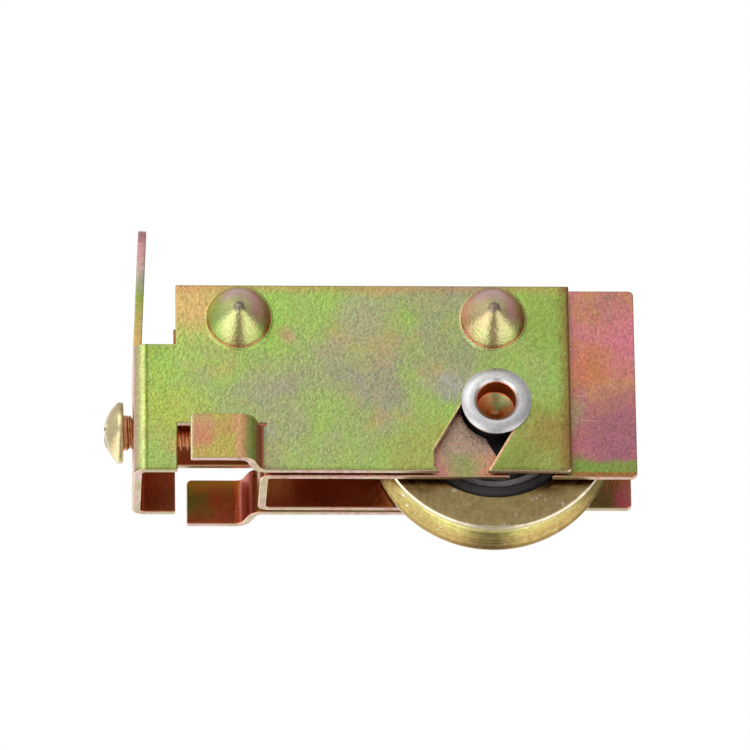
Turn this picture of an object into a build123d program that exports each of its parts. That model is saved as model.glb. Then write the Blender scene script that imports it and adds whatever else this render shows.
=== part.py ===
from build123d import *
import os
from math import cos, radians, sin, tan

# Sliding door roller: a grooved wheel in a folded carriage, which a screw pulls along inside a
# folded housing. Crossed slots in the two turn that pull into a drop of the wheel.
# X runs along the door and the screw is at its -X end, Y runs across the door, Z is up.
# The origin is the wheel's centre, on the middle plane, with the wheel fully raised.

SHEET = 1.3                     # thickness of both folded sheets
CORNER = 0.8                    # rounding of sheared corners
TOP_CORNER = 0.4                # along the housing's top edge, where the corners are almost square

# Outer housing
HOUSING_LEFT = -55.8
HOUSING_RIGHT = 11.5
HOUSING_TOP = 19.2
HOUSING_BOTTOM = -11.4
HOUSING_DEPTH = 19.6
HOUSING_BEND = 2.0              # outer radius of the two upright folds
SHOULDER_X = HOUSING_LEFT + 6.5
SHOULDER_Z = 9.4
TAB_TOP = 30.9
TAB_WIDTH = 12.7
TAB_LEAN = 2.4                  # degrees towards +X
TAB_BEND = 20.0
TAB_CORNER = 4.0
TAB_HOLE_RADIUS = 2.25
TAB_HOLE_HEIGHT = 12.6          # from the tab's foot, along the tab
DIMPLE_XS = (-39.6, -0.35)
DIMPLE_Z = 13.6
DIMPLE_RADIUS = 5.0
DIMPLE_HEIGHT = 5.25
DIMPLE_STEP = 0.2               # small square step around its foot
DIMPLE_TIP = 0.45               # flat at the tip, before it is rounded
DIMPLE_WALL = 0.9
WINDOW_LEFT = HOUSING_LEFT + 6.7
WINDOW_RIGHT = HOUSING_LEFT + 20.5
WINDOW_HEIGHT = 7.7
WING_LEFT = HOUSING_LEFT + 8.6
WING_HEIGHT = 7.3
WING_OFFSET = 5.2               # how far a wing stands out from its plate
WING_BEND_RIGHT = HOUSING_LEFT + 19.1
WING_BEND_LEFT = HOUSING_LEFT + 17.5
WING_BEND = 1.8                 # radius of the joggle along the sheet's middle

# Crossed slots
SLOT_ANGLE = 60.0               # above the horizontal
SLOT_HALF = 4.4
HOUSING_SLOT_SIDE = 9.65        # where the slot's far edge turns upright
HOUSING_SLOT_MOUTH = 8.8        # where the narrower mouth begins
CARRIAGE_SLOT_LOWER_HALF = 3.95
CARRIAGE_SLOT_SIDE = 9.2
CARRIAGE_SLOT_MOUTH = 8.5
CARRIAGE_POCKET = 5.4           # round pocket at the top of the carriage's slot

# Wheel carriage
CARRIAGE_LEFT = -36.4
CARRIAGE_RIGHT = 21.7
CARRIAGE_TOP = 19.35
CARRIAGE_BOTTOM = -11.5
CARRIAGE_DEPTH = 15.0
CARRIAGE_BEND = 1.8

# Adjusting screw, No. 12 with 24 threads to the inch, and its nut
SCREW_Z = -1.6
SCREW_RADIUS = 2.743
SCREW_LENGTH = 29.7             # under the head
SCREW_POINT = 0.8
HEAD_LEFT = -60.3
HEAD_RIGHT = -57.3
HEAD_RADIUS = 4.75
HEAD_RIM = 0.8
HEAD_EDGE = 0.35
RECESS_SPAN = 5.2
RECESS_WIDTH = 1.25
RECESS_DEPTH = 1.7
RECESS_TAPER = 12.0
SCREW_HOLE_RADIUS = 3.2
THREAD_CLEARANCE = 0.05
NUT_ACROSS_FLATS = 11.1
NUT_THICKNESS = 3.6
NUT_CHAMFER = 0.4

# Axle rivet and its two bushes
AXLE_RADIUS = 3.6
RIVET_GAP = 0.05                # between the rivet's two heads and the housing
RIVET_FLANGE_RADIUS = 5.4
RIVET_FLANGE = 1.0
RIVET_MOUTH_RADIUS = 3.5
RIVET_BORE_RADIUS = 3.0
RIVET_BORE_DEPTH = 4.7
DRILL_POINT = 59.0              # half angle of the bore's conical end
RIVET_HEAD_RADIUS = 5.6
RIVET_HEAD = 1.5
BUSH_FLANGE_RADIUS = 7.3
BUSH_END = 6.1                  # from the middle plane to a bush's outer face
BUSH_MIDDLE = 0.05
BUSH_CLEARANCE = 0.02

# Wheel and the ring that holds its bearing
WHEEL_RADIUS = 19.05
WHEEL_WIDTH = 9.8
WHEEL_BORE = 13.7
WHEEL_EDGE = 0.25
GROOVE_HALF = 4.2
GROOVE_DEPTH = 1.9
INSERT_WIDTH = 9.0
INSERT_SHOULDER = 11.2

# Ball bearing, 12 x 24 x 6
BEARING_OUTER = 12.0
BEARING_BORE = 6.0
BEARING_WIDTH = 6.0
BEARING_EDGE = 0.3
PITCH_RADIUS = 9.0
BALL_RADIUS = 1.5875
RACE_RADIUS = 1.61
BALL_COUNT = 10
OUTER_LAND = 10.0
INNER_LAND = 7.95
SHIELD_SEAT = 10.6
SHIELD_SEAT_DEPTH = 0.5
SHIELD_INNER = 8.15
SHIELD_SHEET = 0.35
CAGE_INNER = 8.4
CAGE_OUTER = 9.6
CAGE_SHEET = 0.35
CAGE_POCKET = 1.68
CAGE_RIVET = 0.3
CAGE_RIVET_HEAD = 0.48


def folded_channel(left, right, depth, bend):
    """Plan of one sheet folded twice into a U that is open towards +X."""
    half = depth / 2
    with BuildSketch() as plan:
        with BuildLine():
            FilletPolyline((right, -half), (left, -half), (left, half), (right, half), radius=bend)
            offset(amount=SHEET, side=Side.RIGHT)
        make_face()
    return plan.sketch


def slanted_slot(side, pocket, lower_half, far_side, mouth, bottom):
    """Slot from a round pocket at the axle down to the bottom edge, towards -X (-1) or +X (1)."""
    slope = radians(SLOT_ANGLE)
    upper = (side * SLOT_HALF * sin(slope), SLOT_HALF * cos(slope))
    lower = (-side * lower_half * sin(slope), -lower_half * cos(slope))
    turn_z = upper[1] - (far_side - abs(upper[0])) * tan(slope)
    below = bottom - SHEET
    foot_x = lower[0] + side * (lower[1] - below) / tan(slope)
    with BuildSketch() as slot:
        with BuildLine():
            Polyline(
                (0, 0),
                lower,
                (foot_x, below),
                (side * mouth, below),
                (side * mouth, bottom),
                (side * far_side, bottom + far_side - mouth),
                (side * far_side, turn_z),
                upper,
                close=True,
            )
        make_face()
        Circle(pocket)
    return slot.sketch


def draw_ring(inner, outer, near, far, edge=0.0):
    """Half section of a ring around Y, as x = radius and y = place along the axis."""
    with Locations(((inner + outer) / 2, (near + far) / 2)):
        ring = Rectangle(outer - inner, far - near)
    if edge:
        chamfer(ring.vertices(), edge)


# ---- outer housing -------------------------------------------------------------------------
lean = radians(TAB_LEAN)
tab_foot = SHOULDER_Z + 1.0
tab_shift = (TAB_TOP - tab_foot) * tan(lean)
tab_hole_plane = Plane(
    origin=(
        HOUSING_LEFT + TAB_HOLE_HEIGHT * sin(lean),
        0,
        tab_foot + TAB_HOLE_HEIGHT * cos(lean),
    ),
    x_dir=(0, 1, 0),
    z_dir=(-cos(lean), 0, sin(lean)),
)

with BuildPart() as tab:
    with BuildSketch(Plane.XZ):
        with BuildLine():
            FilletPolyline(
                (HOUSING_LEFT, SHOULDER_Z - 3),
                (HOUSING_LEFT, tab_foot),
                (HOUSING_LEFT + tab_shift, TAB_TOP),
                radius=TAB_BEND,
            )
            offset(amount=SHEET, side=Side.RIGHT)
        make_face()
    extrude(amount=TAB_WIDTH / 2, both=True)
    top_edges = tab.faces().sort_by(Axis.Z)[-1].edges()
    fillet(top_edges.filter_by(Axis.Y, reverse=True), TAB_CORNER)
    with BuildSketch(tab_hole_plane):
        Circle(TAB_HOLE_RADIUS)
    extrude(amount=2 * SHEET, both=True, mode=Mode.SUBTRACT)

plate_face = -HOUSING_DEPTH / 2
plate_middle = plate_face + SHEET / 2
plate_inside = plate_face + SHEET
dimple_tip = plate_face - DIMPLE_HEIGHT

with BuildPart() as dimple:
    with BuildSketch():
        with BuildLine():
            ThreePointArc(
                (DIMPLE_TIP, dimple_tip),
                (0.65 * DIMPLE_RADIUS, plate_face - 0.51 * DIMPLE_HEIGHT),
                (DIMPLE_RADIUS, plate_face - DIMPLE_STEP),
            )
            Polyline(
                (DIMPLE_RADIUS, plate_face - DIMPLE_STEP),
                (DIMPLE_RADIUS + DIMPLE_STEP, plate_face - DIMPLE_STEP),
                (DIMPLE_RADIUS + DIMPLE_STEP, plate_inside),
                (0, plate_inside),
                (0, dimple_tip),
                (DIMPLE_TIP, dimple_tip),
            )
        make_face()
        fillet(vertices().sort_by_distance((DIMPLE_TIP, dimple_tip))[0], 0.7)
    revolve(axis=Axis.Y)

with BuildPart() as dimple_hollow:
    with BuildSketch():
        with BuildLine():
            ThreePointArc(
                (0, dimple_tip + SHEET),
                (0.62 * DIMPLE_RADIUS - DIMPLE_WALL, plate_face - 0.42 * DIMPLE_HEIGHT),
                (DIMPLE_RADIUS - DIMPLE_WALL, plate_inside),
            )
            Polyline(
                (DIMPLE_RADIUS - DIMPLE_WALL, plate_inside),
                (0, plate_inside),
                (0, dimple_tip + SHEET),
            )
        make_face()
    revolve(axis=Axis.Y)

housing_slot = slanted_slot(
    -1, SLOT_HALF, SLOT_HALF, HOUSING_SLOT_SIDE, HOUSING_SLOT_MOUTH, HOUSING_BOTTOM
)

with BuildPart() as outer_housing:
    with BuildSketch(Plane.XY.offset(HOUSING_BOTTOM)):
        add(folded_channel(HOUSING_LEFT, HOUSING_RIGHT, HOUSING_DEPTH, HOUSING_BEND))
    extrude(amount=HOUSING_TOP - HOUSING_BOTTOM)
    # One side outline trims both plates.
    with BuildSketch(Plane.XZ):
        with BuildLine():
            Polyline(
                (HOUSING_LEFT, HOUSING_BOTTOM),
                (HOUSING_RIGHT, HOUSING_BOTTOM),
                (HOUSING_RIGHT, HOUSING_TOP),
                (SHOULDER_X, HOUSING_TOP),
                (SHOULDER_X, SHOULDER_Z),
                (HOUSING_LEFT, SHOULDER_Z),
                close=True,
            )
        make_face()
        outline = vertices()
        fillet(outline.group_by(Axis.Y)[0].sort_by(Axis.X)[-1], CORNER)
        fillet(outline.group_by(Axis.Y)[-1], TOP_CORNER)
        add(housing_slot, mode=Mode.SUBTRACT)
        with Locations((WINDOW_LEFT, HOUSING_BOTTOM)):
            Rectangle(
                WINDOW_RIGHT - WINDOW_LEFT,
                WINDOW_HEIGHT,
                align=(Align.MIN, Align.MIN),
                mode=Mode.SUBTRACT,
            )
    extrude(amount=HOUSING_DEPTH, both=True, mode=Mode.INTERSECT)
    # A wing is lanced out of each plate, with a joggle at its root.
    with BuildSketch(Plane.XY.offset(HOUSING_BOTTOM)):
        with BuildLine():
            FilletPolyline(
                (WINDOW_RIGHT + SHEET, plate_middle),
                (WING_BEND_RIGHT, plate_middle),
                (WING_BEND_LEFT, plate_middle - WING_OFFSET),
                (WING_LEFT, plate_middle - WING_OFFSET),
                radius=WING_BEND,
            )
        trace(line_width=SHEET)
    extrude(amount=WING_HEIGHT)
    free_edge = outer_housing.edges().filter_by(Axis.Y).filter_by_position(
        Axis.X, WING_LEFT - 0.01, WING_LEFT + 0.01
    )
    fillet(free_edge.sort_by(Axis.Z)[-1], CORNER)
    dimples = [Location((x, 0, DIMPLE_Z)) for x in DIMPLE_XS]
    with Locations(*dimples):
        add(dimple.part)
    with Locations(*dimples):
        add(dimple_hollow.part, mode=Mode.SUBTRACT)
    mirror(about=Plane.XZ)
    add(tab.part)
    with BuildSketch(Plane.YZ.offset(HOUSING_LEFT - SHEET)):
        with Locations((0, SCREW_Z)):
            Circle(SCREW_HOLE_RADIUS)
    extrude(amount=3 * SHEET, mode=Mode.SUBTRACT)
outer_housing.part.label = "outer_housing"

# ---- wheel carriage and its nut ------------------------------------------------------------
carriage_slot = slanted_slot(
    1,
    CARRIAGE_POCKET,
    CARRIAGE_SLOT_LOWER_HALF,
    CARRIAGE_SLOT_SIDE,
    CARRIAGE_SLOT_MOUTH,
    CARRIAGE_BOTTOM,
)

with BuildPart() as wheel_carriage:
    with BuildSketch(Plane.XY.offset(CARRIAGE_BOTTOM)):
        add(folded_channel(CARRIAGE_LEFT, CARRIAGE_RIGHT, CARRIAGE_DEPTH, CARRIAGE_BEND))
    extrude(amount=CARRIAGE_TOP - CARRIAGE_BOTTOM)
    with BuildSketch(Plane.XZ):
        with Locations((CARRIAGE_LEFT, CARRIAGE_BOTTOM)):
            side = Rectangle(
                CARRIAGE_RIGHT - CARRIAGE_LEFT,
                CARRIAGE_TOP - CARRIAGE_BOTTOM,
                align=(Align.MIN, Align.MIN),
            )
        fillet(side.vertices().group_by(Axis.X)[-1], CORNER)
        add(carriage_slot, mode=Mode.SUBTRACT)
    extrude(amount=CARRIAGE_DEPTH, both=True, mode=Mode.INTERSECT)
    with BuildSketch(Plane.YZ.offset(CARRIAGE_LEFT - SHEET)):
        with Locations((0, SCREW_Z)):
            Circle(SCREW_HOLE_RADIUS)
    extrude(amount=3 * SHEET, mode=Mode.SUBTRACT)
wheel_carriage.part.label = "wheel_carriage"

nut_face = CARRIAGE_LEFT + SHEET
with BuildPart() as screw_nut:
    with BuildSketch(Plane.YZ.offset(nut_face)):
        with Locations((0, SCREW_Z)):
            RegularPolygon(NUT_ACROSS_FLATS / 2, 6, major_radius=False, rotation=30)
    extrude(amount=NUT_THICKNESS)
    chamfer(faces().sort_by(Axis.X)[-1].edges(), NUT_CHAMFER)
    with BuildSketch(Plane.YZ.offset(nut_face)):
        with Locations((0, SCREW_Z)):
            Circle(SCREW_RADIUS + THREAD_CLEARANCE)
    extrude(amount=NUT_THICKNESS, mode=Mode.SUBTRACT)
screw_nut.part.label = "screw_nut"

# ---- adjusting screw -----------------------------------------------------------------------
# The shank is plain, at the thread's outer radius.
shank_end = HEAD_RIGHT + SCREW_LENGTH
with BuildPart() as adjusting_screw:
    with BuildSketch(Plane.XY.offset(SCREW_Z)):
        with BuildLine():
            Polyline(
                (HEAD_LEFT, 0),
                (shank_end, 0),
                (shank_end, SCREW_RADIUS - SCREW_POINT),
                (shank_end - SCREW_POINT, SCREW_RADIUS),
                (HEAD_RIGHT, SCREW_RADIUS),
                (HEAD_RIGHT, HEAD_RADIUS),
                (HEAD_RIGHT - HEAD_RIM, HEAD_RADIUS),
            )
            TangentArc((HEAD_LEFT, 0), (HEAD_RIGHT - HEAD_RIM, HEAD_RADIUS), tangent=(0, 1))
        make_face()
        fillet(vertices().sort_by_distance((HEAD_RIGHT, HEAD_RADIUS))[0], HEAD_EDGE)
    revolve(axis=Axis((0, 0, SCREW_Z), (1, 0, 0)))
    for quarter in (0, 90):
        with BuildSketch(Plane.YZ.offset(HEAD_LEFT)):
            with Locations((0, SCREW_Z)):
                Rectangle(RECESS_SPAN, RECESS_WIDTH, rotation=quarter)
        extrude(amount=RECESS_DEPTH, taper=RECESS_TAPER, mode=Mode.SUBTRACT)
adjusting_screw.part.label = "adjusting_screw"

# ---- axle rivet and bushes -----------------------------------------------------------------
rivet_near = plate_face - RIVET_GAP
rivet_far = -rivet_near
bore_end = rivet_near - RIVET_FLANGE + RIVET_BORE_DEPTH

with BuildPart() as axle_rivet:
    with BuildSketch():
        with BuildLine():
            Polyline(
                (0, bore_end + RIVET_BORE_RADIUS / tan(radians(DRILL_POINT))),
                (RIVET_BORE_RADIUS, bore_end),
                (RIVET_BORE_RADIUS, rivet_near - 0.4 * RIVET_FLANGE),
                (RIVET_MOUTH_RADIUS, rivet_near - 0.9 * RIVET_FLANGE),
            )
            ThreePointArc(
                (RIVET_MOUTH_RADIUS, rivet_near - 0.9 * RIVET_FLANGE),
                (0.83 * RIVET_FLANGE_RADIUS, rivet_near - 0.81 * RIVET_FLANGE),
                (RIVET_FLANGE_RADIUS, rivet_near - 0.35 * RIVET_FLANGE),
            )
            Polyline(
                (RIVET_FLANGE_RADIUS, rivet_near - 0.35 * RIVET_FLANGE),
                (RIVET_FLANGE_RADIUS, rivet_near),
                (AXLE_RADIUS, rivet_near),
                (AXLE_RADIUS, rivet_far),
                (RIVET_HEAD_RADIUS, rivet_far),
                (RIVET_HEAD_RADIUS, rivet_far + 0.3 * RIVET_HEAD),
            )
            TangentArc(
                (0, rivet_far + RIVET_HEAD),
                (RIVET_HEAD_RADIUS, rivet_far + 0.3 * RIVET_HEAD),
                tangent=(1, 0),
            )
            Line(
                (0, rivet_far + RIVET_HEAD),
                (0, bore_end + RIVET_BORE_RADIUS / tan(radians(DRILL_POINT))),
            )
        make_face()
    revolve(axis=Axis.Y)
axle_rivet.part.label = "axle_rivet"

bush_bore = AXLE_RADIUS + BUSH_CLEARANCE
with BuildPart() as bush_back:
    with BuildSketch():
        draw_ring(bush_bore, BEARING_BORE, BUSH_MIDDLE, BEARING_WIDTH / 2)
        draw_ring(bush_bore, BUSH_FLANGE_RADIUS, BEARING_WIDTH / 2, BUSH_END)
    revolve(axis=Axis.Y)
bush_back.part.label = "bush_back"

with BuildPart() as bush_front:
    mirror(bush_back.part, about=Plane.XZ)
bush_front.part.label = "bush_front"

# ---- wheel and insert ring -----------------------------------------------------------------
with BuildPart() as wheel_rim:
    with BuildSketch():
        draw_ring(WHEEL_BORE, WHEEL_RADIUS, -WHEEL_WIDTH / 2, WHEEL_WIDTH / 2, WHEEL_EDGE)
        with BuildLine():
            ThreePointArc(
                (WHEEL_RADIUS, -GROOVE_HALF),
                (WHEEL_RADIUS - GROOVE_DEPTH, 0),
                (WHEEL_RADIUS, GROOVE_HALF),
            )
            Line((WHEEL_RADIUS, GROOVE_HALF), (WHEEL_RADIUS, -GROOVE_HALF))
        make_face(mode=Mode.SUBTRACT)
    revolve(axis=Axis.Y)
wheel_rim.part.label = "wheel_rim"

with BuildPart() as insert_ring:
    with BuildSketch():
        draw_ring(BEARING_OUTER, WHEEL_BORE, -INSERT_WIDTH / 2, BEARING_WIDTH / 2)
        draw_ring(INSERT_SHOULDER, WHEEL_BORE, BEARING_WIDTH / 2, INSERT_WIDTH / 2)
    revolve(axis=Axis.Y)
insert_ring.part.label = "insert_ring"

# ---- ball bearing --------------------------------------------------------------------------
half_bearing = BEARING_WIDTH / 2
seat_floor = half_bearing - SHIELD_SEAT_DEPTH

with BuildPart() as bearing_outer_ring:
    with BuildSketch():
        draw_ring(OUTER_LAND, BEARING_OUTER, -half_bearing, half_bearing)
        chamfer(vertices().group_by(Axis.X)[-1], BEARING_EDGE)
        with Locations((PITCH_RADIUS, 0)):
            Circle(RACE_RADIUS, mode=Mode.SUBTRACT)
        for middle in (-half_bearing, half_bearing):
            with Locations((OUTER_LAND, middle)):
                Rectangle(
                    2 * (SHIELD_SEAT - OUTER_LAND), 2 * SHIELD_SEAT_DEPTH, mode=Mode.SUBTRACT
                )
    revolve(axis=Axis.Y)
bearing_outer_ring.part.label = "bearing_outer_ring"

with BuildPart() as bearing_inner_ring:
    with BuildSketch():
        draw_ring(BEARING_BORE, INNER_LAND, -half_bearing, half_bearing)
        chamfer(vertices().group_by(Axis.X)[0], BEARING_EDGE)
        with Locations((PITCH_RADIUS, 0)):
            Circle(RACE_RADIUS, mode=Mode.SUBTRACT)
    revolve(axis=Axis.Y)
bearing_inner_ring.part.label = "bearing_inner_ring"

with BuildPart(Plane.XZ) as bearing_balls:
    with PolarLocations(PITCH_RADIUS, BALL_COUNT):
        Sphere(BALL_RADIUS)
bearing_balls.part.label = "bearing_balls"

# Each half of the cage is a pressed ribbon, domed over every ball and riveted between them.
half_step = 180 / BALL_COUNT
dome = CAGE_POCKET + CAGE_SHEET
with BuildPart(Plane.XZ) as cage_front:
    with PolarLocations(PITCH_RADIUS, BALL_COUNT):
        Sphere(dome)
    with BuildSketch(Plane.XZ):
        Circle(CAGE_OUTER)
        Circle(CAGE_INNER, mode=Mode.SUBTRACT)
    extrude(amount=dome, mode=Mode.INTERSECT)
    with BuildSketch(Plane.XZ):
        Circle(CAGE_OUTER)
        Circle(CAGE_INNER, mode=Mode.SUBTRACT)
    extrude(amount=CAGE_SHEET)
    with PolarLocations(PITCH_RADIUS, BALL_COUNT):
        Sphere(CAGE_POCKET, mode=Mode.SUBTRACT)
    with PolarLocations(PITCH_RADIUS, BALL_COUNT, start_angle=half_step):
        Cylinder(CAGE_RIVET, 4 * CAGE_SHEET, mode=Mode.SUBTRACT)
cage_front.part.label = "cage_front"

with BuildPart() as cage_back:
    mirror(cage_front.part, about=Plane.XZ)
cage_back.part.label = "cage_back"

with BuildPart(Plane.XZ) as cage_rivets:
    with PolarLocations(PITCH_RADIUS, BALL_COUNT, start_angle=half_step):
        Cylinder(CAGE_RIVET, 4 * CAGE_SHEET)
    for level in (-1.5 * CAGE_SHEET, 1.5 * CAGE_SHEET):
        with BuildSketch(Plane.XZ.offset(level)):
            with PolarLocations(PITCH_RADIUS, BALL_COUNT, start_angle=half_step):
                Circle(CAGE_RIVET_HEAD)
        extrude(amount=CAGE_SHEET / 2, both=True)
cage_rivets.part.label = "cage_rivets"

with BuildPart() as shield_back:
    with BuildSketch():
        draw_ring(SHIELD_INNER, SHIELD_SEAT, seat_floor, seat_floor + SHIELD_SHEET)
    revolve(axis=Axis.Y)
    fillet(edges().filter_by(GeomType.CIRCLE).group_by(Axis.Y)[-1].sort_by(SortBy.RADIUS)[0], 0.15)
shield_back.part.label = "shield_back"

with BuildPart() as shield_front:
    mirror(shield_back.part, about=Plane.XZ)
shield_front.part.label = "shield_front"

# ---- files ---------------------------------------------------------------------------------
os.makedirs("parts", exist_ok=True)
assembly = (
    outer_housing,
    wheel_carriage,
    screw_nut,
    adjusting_screw,
    axle_rivet,
    bush_front,
    bush_back,
    wheel_rim,
    insert_ring,
    bearing_outer_ring,
    bearing_inner_ring,
    bearing_balls,
    cage_front,
    cage_back,
    cage_rivets,
    shield_front,
    shield_back,
)
for node in assembly:
    export_step(node.part, f"parts/{node.part.label}.step")
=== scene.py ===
import math
import bmesh
import bpy
from mathutils import Matrix, Vector
from mathutils.bvhtree import BVHTree


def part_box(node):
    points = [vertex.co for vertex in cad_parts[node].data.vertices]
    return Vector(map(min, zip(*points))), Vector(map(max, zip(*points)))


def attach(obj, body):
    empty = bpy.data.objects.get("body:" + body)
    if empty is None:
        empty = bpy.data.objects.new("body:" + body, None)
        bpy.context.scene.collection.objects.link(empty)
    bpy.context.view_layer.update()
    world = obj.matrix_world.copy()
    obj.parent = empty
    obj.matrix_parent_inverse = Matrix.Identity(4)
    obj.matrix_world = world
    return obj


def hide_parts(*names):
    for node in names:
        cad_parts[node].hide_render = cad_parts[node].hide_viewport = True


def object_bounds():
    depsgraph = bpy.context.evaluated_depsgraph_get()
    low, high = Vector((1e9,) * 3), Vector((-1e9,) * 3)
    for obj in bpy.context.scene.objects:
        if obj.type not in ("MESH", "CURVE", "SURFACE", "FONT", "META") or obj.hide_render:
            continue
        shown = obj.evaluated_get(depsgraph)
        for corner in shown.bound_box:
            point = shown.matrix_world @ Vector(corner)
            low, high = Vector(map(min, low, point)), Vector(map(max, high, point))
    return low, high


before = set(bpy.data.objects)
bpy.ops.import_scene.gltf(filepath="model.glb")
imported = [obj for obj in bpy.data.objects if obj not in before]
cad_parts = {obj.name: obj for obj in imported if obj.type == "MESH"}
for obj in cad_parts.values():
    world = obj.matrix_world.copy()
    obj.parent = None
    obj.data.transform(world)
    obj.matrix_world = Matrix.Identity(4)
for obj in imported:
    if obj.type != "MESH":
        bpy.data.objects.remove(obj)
cad_low, cad_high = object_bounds()
scene = bpy.context.scene
MM = 0.001

# The part's own sizes, in millimetres in the shared frame
SHEET = 1.3                     # thickness of both folded sheets
END_X = -55.8                   # outer face of the housing's end flange
FOLD_X = -53.8                  # where the flange's folds run into the plates
PLATE_RIGHT = 11.5
PLATE_TOP = 19.2
PLATE_BOTTOM = -11.4
PLATE_Y = 9.8                   # outer faces of the housing's plates
TAB_X, TAB_Z = -50.5, 10.2      # left of and above these, the sheet is the upright tab
WING_LEFT = -47.2
WING_TOP = -4.1
WING_Y = 15.0                   # outer faces of the wings
JOGGLE_X = -36.7                # where a wing's joggle leaves the plate
CONE_X = (-39.6, -0.35)
CONE_Z = 13.6
SLOT_HALF = 4.4
CARRIAGE_BOTTOM = -11.5
CARRIAGE_Y = 7.5                # outer faces of the carriage's plates
WHEEL_RADIUS = 19.05
WHEEL_HALF = 4.9
GROOVE_HALF = 4.2
MOUTH_Y = -10.6                 # inside the rivet's rounded mouth
BORE_RADIUS = 3.0
INSERT_OUTER, INSERT_INNER = 13.7, 12.0
SCREW_Z = -1.6
PITCH = 25.4 / 24
SHANK_RADIUS = 2.743
HEAD_UNDERSIDE = -57.3


# ---------------------------------------------------------------- node helpers
class Shader:
    """A material whose texture coordinates are millimetres in the part's own frame."""

    def __init__(self, name, metallic=1.0, roughness=0.4, **sockets):
        self.material = bpy.data.materials.new(name)
        self.material.use_nodes = True
        self.tree = self.material.node_tree
        self.tree.nodes.clear()
        out = self.node("ShaderNodeOutputMaterial")
        self.bsdf = self.node("ShaderNodeBsdfPrincipled")
        self.bsdf.inputs["Metallic"].default_value = metallic
        self.bsdf.inputs["Roughness"].default_value = roughness
        for key, value in sockets.items():
            self.bsdf.inputs[key.replace("_", " ")].default_value = value
        self.link(self.bsdf.outputs[0], out.inputs["Surface"])
        coords = self.node("ShaderNodeTexCoord")
        scale = self.node("ShaderNodeVectorMath", operation="SCALE")
        scale.inputs["Scale"].default_value = 1 / MM
        self.link(coords.outputs["Object"], scale.inputs[0])
        self.mm = scale.outputs[0]

    def node(self, kind, **props):
        made = self.tree.nodes.new(kind)
        for key, value in props.items():
            setattr(made, key, value)
        return made

    def link(self, a, b):
        self.tree.links.new(a, b)

    def put(self, socket, value):
        if isinstance(value, bpy.types.NodeSocket):
            self.link(value, socket)
        else:
            socket.default_value = value

    def math(self, operation, *values):
        made = self.node("ShaderNodeMath", operation=operation)
        for socket, value in zip(made.inputs, values):
            self.put(socket, value)
        return made.outputs[0]

    def plus(self, a, b):
        return self.math("ADD", a, b)

    def minus(self, a, b):
        return self.math("SUBTRACT", a, b)

    def times(self, a, b):
        return self.math("MULTIPLY", a, b)

    def absolute(self, a):
        return self.math("ABSOLUTE", a)

    def length(self, a, b):
        return self.math("SQRT", self.plus(self.times(a, a), self.times(b, b)))

    def vector(self, operation, a, b):
        made = self.node("ShaderNodeVectorMath", operation=operation)
        self.put(made.inputs[0], a)
        self.put(made.inputs[1], b)
        return made.outputs["Value" if operation == "DISTANCE" else "Vector"]

    def split(self):
        made = self.node("ShaderNodeSeparateXYZ")
        self.link(self.mm, made.inputs[0])
        return made.outputs

    def noise(self, scale, detail=3.0, rough=0.55, distort=0.0, at=None, colour=False):
        made = self.node("ShaderNodeTexNoise")
        self.link(at or self.mm, made.inputs["Vector"])
        made.inputs["Scale"].default_value = scale
        made.inputs["Detail"].default_value = detail
        made.inputs["Roughness"].default_value = rough
        made.inputs["Distortion"].default_value = distort
        return made.outputs["Color" if colour else "Fac"]

    def stretch(self, x, y, z, shift=(0, 0, 0)):
        made = self.node("ShaderNodeMapping")
        self.link(self.mm, made.inputs["Vector"])
        made.inputs["Scale"].default_value = (x, y, z)
        made.inputs["Location"].default_value = shift
        return made.outputs[0]

    def ramp(self, fac, stops):
        made = self.node("ShaderNodeValToRGB")
        elements = made.color_ramp.elements
        while len(elements) < len(stops):
            elements.new(0.5)
        for element, (place, colour) in zip(elements, stops):
            element.position = place
            element.color = (*colour, 1)
        self.link(fac, made.inputs["Fac"])
        return made.outputs["Color"]

    def greys(self, fac, *stops):
        return self.ramp(fac, [(place, (grey,) * 3) for place, grey in stops])

    def band(self, value, low, high, to_low=0.0, to_high=1.0):
        """A smooth step from to_low, where value is low, to to_high, where it is high."""
        made = self.node("ShaderNodeMapRange", interpolation_type="SMOOTHSTEP")
        self.put(made.inputs["Value"], value)
        for key, number in (("From Min", low), ("From Max", high), ("To Min", to_low), ("To Max", to_high)):
            made.inputs[key].default_value = number
        return made.outputs[0]

    def mix(self, fac, a, b, blend="MIX"):
        made = self.node("ShaderNodeMix", data_type="RGBA", blend_type=blend)
        self.put(made.inputs[0], fac)
        for socket, value in ((made.inputs[6], a), (made.inputs[7], b)):
            self.put(socket, (*value, 1) if isinstance(value, tuple) else value)
        return made.outputs[2]

    def paint(self, colour, tint, value, none, full, share=1.0, where=None):
        """Lay a tint over the colour: none of it where value is none, its share where it is full."""
        fac = self.band(value, none, full, 0, share)
        if where is not None:
            fac = self.times(fac, where)
        return self.mix(fac, colour, tint)

    def ragged(self, value, noise, amount):
        """The value, moved to and fro by a noise, so that a border on it runs unevenly."""
        return self.plus(value, self.times(self.minus(noise, 0.5), amount))

    def bump(self, height, strength, depth_mm):
        made = self.node("ShaderNodeBump")
        made.inputs["Strength"].default_value = strength
        made.inputs["Distance"].default_value = depth_mm * MM
        self.link(height, made.inputs["Height"])
        return made.outputs[0]

    def finish(self, colour, roughness=None, normal=None):
        self.link(colour, self.bsdf.inputs["Base Color"])
        if roughness is not None:
            self.link(roughness, self.bsdf.inputs["Roughness"])
        if normal is not None:
            self.link(normal, self.bsdf.inputs["Normal"])
        return self.material


def srgb(r, g, b):
    """Linear colour from 0 to 255 display values."""
    return tuple(((v / 255 + 0.055) / 1.055) ** 2.4 if v > 10 else v / 255 / 12.92 for v in (r, g, b))


# ---------------------------------------------------------------- materials
WOBBLE = 9.0    # how far, in millimetres, the plating's clouds are pushed about

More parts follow.
